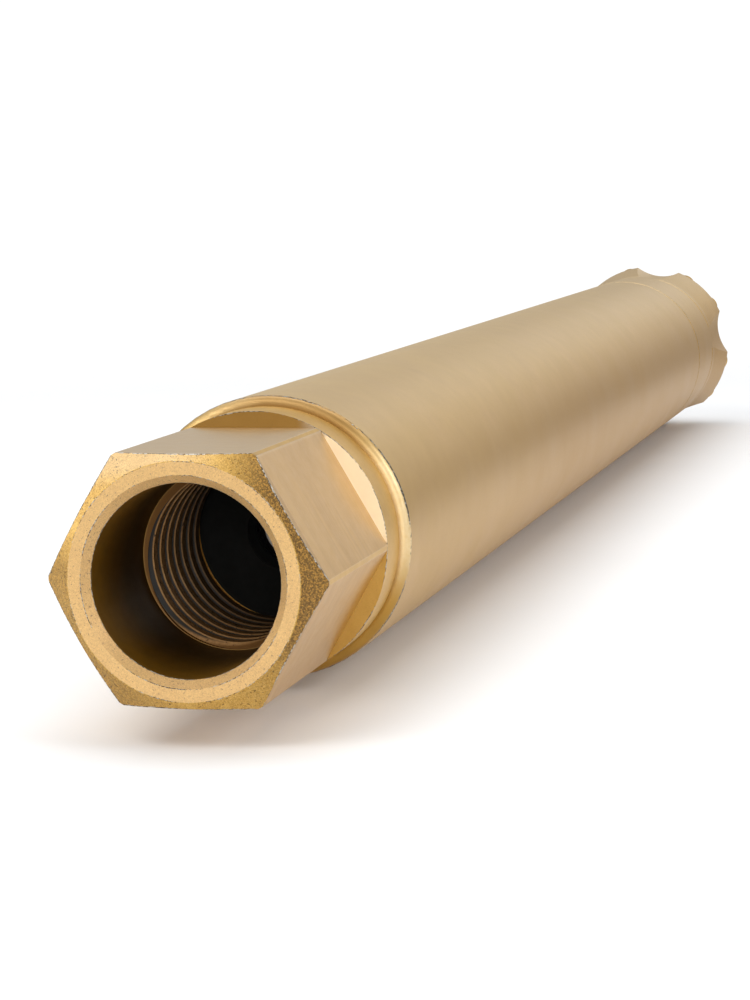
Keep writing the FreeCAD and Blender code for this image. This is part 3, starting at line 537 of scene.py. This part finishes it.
def grease_bead(along, around):
    """A low mound on the thread's root. Along the helix the angle grows with the turn and x with the
    pitch; around the bead, a flattened half circle whose height swells and sinks by sums of sines."""
    turn = along * 2 * np.pi
    swell = 0.75 + 0.18 * np.sin(turn * 2.3 + 1.0) + 0.12 * np.sin(turn * 5.7)
    swell = swell + 0.07 * np.sin(turn * 11.1 + 2.0)
    ends = np.clip(np.minimum(along - GREASE_TURNS[0], GREASE_TURNS[1] - along) / 0.15, 0.0, 1.0) ** 0.5
    height = 0.00042 * swell * ends
    half_width = 0.00085 + 0.00012 * np.sin(turn * 3.1)
    x = THREAD_START + THREAD_PITCH * along + half_width * np.cos(around)
    out = ROOT_RADIUS * 0.001 + 0.00006 - (height + 0.00008) * np.sin(around)
    return np.stack([x, -out * np.sin(turn), out * np.cos(turn)], axis=-1)


along, around = np.meshgrid(
    np.linspace(*GREASE_TURNS, 900), np.linspace(0, 2 * np.pi, 12, endpoint=False), indexing="ij"
)
grease = mesh_from_grid("thread_grease", grease_bead(along, around), wrap_columns=True)
grease_finish = Finish("dark_thread_grease", Coat_Weight=0.6, Coat_Roughness=0.2)
lumps = grease_finish.noise(0.8, 3.0, 0.6)
grease_finish.set("Base Color", grease_finish.blend(lumps, linear("0C0804"), linear("2E2010")))
grease_finish.set("Roughness", (0.35 + (lumps - 0.5) * 0.3).clamped())
grease_finish.bump(lumps * 0.05)
grease.data.materials.append(grease_finish.material)
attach(grease, "hammer_body")
print("grease bead:", len(grease.data.polygons), "faces")

# %% [markdown]
# The check valve pushes its spring together, but the CAD spring is stiff and the valve would run into
# its coils. So a coil of the same size stands in for it. A point on the wire is a point on the helix plus
# a circle round it: x = start + pitch * turns + wire * cos(around).

# %% Check valve spring
SPRING_START, SPRING_END = 0.1143, 0.1487
SPRING_COILS = 7
SPRING_RADIUS = 0.0076
WIRE_RADIUS = 0.0009


def spring_wire(turns, around):
    """A tube round a helix that turns about the axis from +Z towards -Y."""
    x = SPRING_START + (SPRING_END - SPRING_START) * turns / SPRING_COILS + WIRE_RADIUS * np.cos(around)
    out = SPRING_RADIUS - WIRE_RADIUS * np.sin(around)
    angle = turns * 2 * np.pi
    return np.stack([x, -out * np.sin(angle), out * np.cos(angle)], axis=-1)


steps_along = np.linspace(0, SPRING_COILS, SPRING_COILS * 64 + 1)
steps_around = np.linspace(0, 2 * np.pi, 16, endpoint=False)
turns, around = np.meshgrid(steps_along, steps_around, indexing="ij")
spring = mesh_from_grid("valve_spring_coil", spring_wire(turns, around), wrap_columns=True, capped=True)
spring.data.materials.append(spring_steel.material)
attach(spring, "hammer_body")
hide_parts("check_valve_spring")
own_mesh(spring)

# %% [markdown]
# The hammer lies on a plain pale floor. The floor is a wide disc a hair below the lowest point of the
# bit's head, so that nothing sinks into it.

# %% Floor
floor_height = cad_low[2] - 0.0001
ring_radius = np.array([0.0, 0.4, 1.0, 2.5, 6.0, 14.0, 40.0])
turn_angle = np.linspace(0, 2 * np.pi, 64, endpoint=False)
disc_radius, disc_turn = np.meshgrid(ring_radius[1:], turn_angle, indexing="ij")
disc_x = 0.4 + disc_radius * np.cos(disc_turn)
disc_y = disc_radius * np.sin(disc_turn)
disc = np.stack([disc_x, disc_y, np.full_like(disc_radius, floor_height)], axis=-1)
rings, spokes = disc.shape[:2]
points = np.vstack([disc.reshape(-1, 3), [[0.4, 0.0, floor_height]]])
index = np.arange(rings * spokes).reshape(rings, spokes)
inner, outer = index[:-1], index[1:]
quads = np.stack([inner, outer, np.roll(outer, -1, axis=1), np.roll(inner, -1, axis=1)], axis=-1)
quads = quads.reshape(-1, 4)
fan = np.stack([np.full(spokes, rings * spokes), index[0], np.roll(index[0], -1)], axis=-1)
floor_mesh = bpy.data.meshes.new("floor")
floor_mesh.from_pydata(points.tolist(), [], quads.tolist() + fan.tolist())
floor_mesh.update()
floor = bpy.data.objects.new("floor", floor_mesh)
bpy.context.scene.collection.objects.link(floor)
floor_finish = Finish("pale_floor", Roughness=0.9)
paper = floor_finish.noise(60.0, 2.0, 0.5)
floor_finish.set("Base Color", floor_finish.blend(paper, (0.90, 0.90, 0.90, 1), (0.93, 0.93, 0.93, 1)))
away = ((floor_finish.x - 400.0) * (floor_finish.x - 400.0) + floor_finish.y * floor_finish.y).math("SQRT")
floor_finish.set("Alpha", away.fall(550.0, 1050.0))
floor_mesh.materials.append(floor_finish.material)
print("floor at", round(floor_height, 5))

# %% [markdown]
# Soft studio light from six boxes: a long one overhead gives the barrel its pale top, and smaller ones
# stand in front, behind and at the sides. The surroundings are a pale room, which the camera sees as
# white. The lights are weak because metal shows what it reflects more than how strongly it is lit.

# %% Light
def soft_box(name, place, aim, width, height, watts, colour=(1.0, 1.0, 1.0)):
    """A rectangular light at a place, facing a point."""
    light = bpy.data.lights.new(name, "AREA")
    light.shape = "RECTANGLE"
    light.size = width
    light.size_y = height
    light.energy = watts
    light.color = colour
    lamp = bpy.data.objects.new(name, light)
    lamp.location = place
    lamp.rotation_mode = "QUATERNION"
    lamp.rotation_quaternion = (Vector(aim) - Vector(place)).to_track_quat("-Z", "Y")
    bpy.context.scene.collection.objects.link(lamp)
    return lamp


COOL = (0.93, 0.96, 1.0)
WARM = (1.0, 0.97, 0.92)
soft_box("overhead_box", (0.5, 0.0, 1.5), (0.4, 0.0, 0.0), 2.0, 1.0, 16.0, COOL)
soft_box("high_box", (-1.2, 0.5, 1.4), (0.0, 0.0, 0.0), 1.0, 0.8, 11.0)
soft_box("left_box", (-0.7, 1.6, 0.5), (0.0, 0.0, 0.0), 0.9, 0.7, 11.0)
soft_box("right_box", (-0.3, -1.5, 0.85), (0.0, 0.0, 0.0), 0.7, 0.7, 9.0)
soft_box("front_box", (-1.9, -0.5, 0.4), (0.0, 0.0, 0.0), 0.4, 0.4, 8.0, WARM)
soft_box("far_box", (3.2, -0.9, 1.0), (0.6, 0.0, 0.0), 2.0, 1.4, 5.0, COOL)

world = bpy.data.worlds.new("pale_room")
world.use_nodes = True
bpy.context.scene.world = world
room = world.node_tree
room_light = room.nodes["Background"]
path = room.nodes.new("ShaderNodeLightPath")
seen = room.nodes.new("ShaderNodeBackground")
seen.inputs["Color"].default_value = (1.0, 1.0, 1.0, 1.0)
seen.inputs["Strength"].default_value = 1.05
room_light.inputs["Color"].default_value = (1.0, 1.0, 1.0, 1.0)
room_light.inputs["Strength"].default_value = 0.5
pick = room.nodes.new("ShaderNodeMixShader")
room.links.new(path.outputs["Is Camera Ray"], pick.inputs[0])
room.links.new(room_light.outputs[0], pick.inputs[1])
room.links.new(seen.outputs[0], pick.inputs[2])
room.links.new(pick.outputs[0], room.nodes["World Output"].inputs["Surface"])
bpy.context.scene.view_settings.view_transform = "Standard"
print("six soft boxes and a pale room")

# %% [markdown]
# The camera stands a little above the axis and to one side, close to the rear end, with a long lens,
# so that the open socket is large and the barrel runs away to the bit.

# %% Camera
camera_data = bpy.data.cameras.new("camera")
camera_data.lens = 95.26
camera_data.sensor_width = 36.0
camera_data.clip_start = 0.01
camera_data.clip_end = 200.0
camera = bpy.data.objects.new("camera", camera_data)
ahead = Vector((0.96254, 0.24023, -0.12569)).normalized()
right = Vector((0.23942, -0.97067, -0.02173)).normalized()
up = right.cross(ahead)
turn = Matrix((right, up, -ahead)).transposed()
camera.matrix_world = Matrix.Translation((-0.6252, -0.2063, 0.1031)) @ turn.to_4x4()
bpy.context.scene.collection.objects.link(camera)
bpy.context.scene.camera = camera
